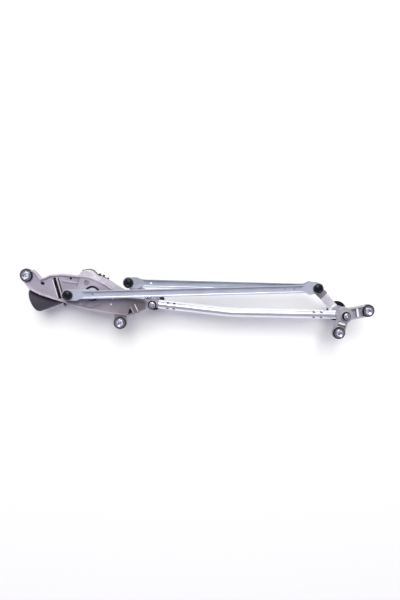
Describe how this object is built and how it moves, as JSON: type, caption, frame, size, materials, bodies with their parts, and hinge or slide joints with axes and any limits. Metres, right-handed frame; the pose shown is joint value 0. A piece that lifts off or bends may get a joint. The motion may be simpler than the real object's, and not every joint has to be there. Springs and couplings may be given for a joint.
{
  "type": "windscreen wiper linkage",
  "caption": "Wiper linkage with gear motor: cast bracket and tube frame, motor crank, channel links and levers that swing two wiper spindles.",
  "frame": {"origin": "on the left mount's bolt axis, at the bracket floor's link side", "axes": "+X along the linkage towards the right spindle, +Z along the mount's bolt axis towards the links, +Y completes the frame and points to the links' side of the tube"},
  "size_m": [0.8134, 0.1649, 0.1259],
  "materials": {
    "cast": "satin cast",
    "cast_light": "satin cast",
    "zinc_tube": "zinc plated",
    "zinc_link": "blue zinc plated",
    "lever_steel": "zinc plated",
    "steel": "bright",
    "rubber": "matte",
    "black_paint": "satin",
    "black_plastic": "matte",
    "black_gloss": "gloss",
    "bronze": "sintered",
    "copper": "bare",
    "ferrite": "matte",
    "white_plastic": "matte",
    "board": "matte"
  },
  "bodies": {
    "frame": {"motor_bracket": "cast", "pivot_bracket": "cast", "frame_tube": "zinc_tube", "left_grommet": "rubber", "lower_grommet": "rubber", "right_grommet": "rubber", "foot_grommet": "rubber", "left_sleeve": "steel", "lower_sleeve": "steel", "right_sleeve": "steel", "foot_sleeve": "steel", "left_spindle_bushes": "bronze", "right_spindle_bushes": "bronze", "gear_housing": "cast_light", "gear_cover": "black_plastic", "cover_screws": "steel", "output_bush": "bronze", "output_seal": "rubber", "brush_housing": "black_plastic", "motor_can": "black_paint", "motor_magnets": "ferrite", "brush_plate": "board", "rotor_bearings": "bronze", "can_screws": "steel", "motor_screws": "steel", "connector_shell": "black_plastic", "connector_pins": "bronze"},
    "crank": {"output_shaft": "steel", "worm_wheel": "white_plastic", "crank_arm": "zinc_link", "crank_nut": "steel", "crank_ball": "steel"},
    "rotor": {"rotor_shaft": "steel", "rotor_core": "ferrite", "commutator": "copper"},
    "drive_link": {"drive_bar": "zinc_link", "drive_crank_socket": "black_gloss", "drive_lever_socket": "black_gloss", "drive_lever_ball": "steel"},
    "tie_link": {"tie_bar": "zinc_link", "tie_left_socket": "black_gloss", "tie_right_socket": "black_gloss", "tie_left_ball": "steel"},
    "right_rocker": {"right_spindle_shaft": "steel", "right_lever": "lever_steel", "right_lever_ball": "steel", "right_spindle_cap": "black_gloss", "right_end_ring": "black_gloss"},
    "left_rocker": {"left_spindle_shaft": "steel", "left_lever": "lever_steel", "left_spindle_cap": "black_gloss", "left_end_ring": "black_gloss"}
  },
  "joints": [
    {"name": "crank_turn", "type": "hinge", "parent": "frame", "child": "crank", "pos_m": [0.1455, -0.041, 0], "axis": [0, 0, -1], "range_deg": [0, 177.74]},
    {"name": "right_spindle_turn", "type": "hinge", "parent": "frame", "child": "right_rocker", "pos_m": [0.7285, -0.0925, 0], "axis": [0, 0, -1], "range_deg": [0, 65.1]},
    {"name": "left_spindle_turn", "type": "hinge", "parent": "frame", "child": "left_rocker", "pos_m": [0.2815, -0.066, 0], "axis": [0, 0, -1], "range_deg": [0, 87.55]},
    {"name": "drive_link_turn", "type": "hinge", "parent": "crank", "child": "drive_link", "pos_m": [0.09452, -0.0424, 0.02], "axis": [0, 0, 1], "range_deg": [0, 180.1]},
    {"name": "tie_link_turn", "type": "hinge", "parent": "right_rocker", "child": "tie_link", "pos_m": [0.65698, -0.02697, 0.004], "axis": [0, 0, 1], "range_deg": [0, 68]},
    {"name": "rotor_spin", "type": "hinge", "parent": "frame", "child": "rotor", "pos_m": [0.13575, -0.01422, -0.035], "axis": [0.9397, 0.342, 0], "range_deg": [0, 7112]}
  ],
  "couplings": [
    {"joint": "right_spindle_turn", "follows": "crank_turn", "ratio": 0.36618},
    {"joint": "left_spindle_turn", "follows": "crank_turn", "ratio": 0.49239},
    {"joint": "drive_link_turn", "follows": "crank_turn", "ratio": 1.0127},
    {"joint": "tie_link_turn", "follows": "crank_turn", "ratio": 0.38213},
    {"joint": "rotor_spin", "follows": "crank_turn", "ratio": 40}
  ]
}
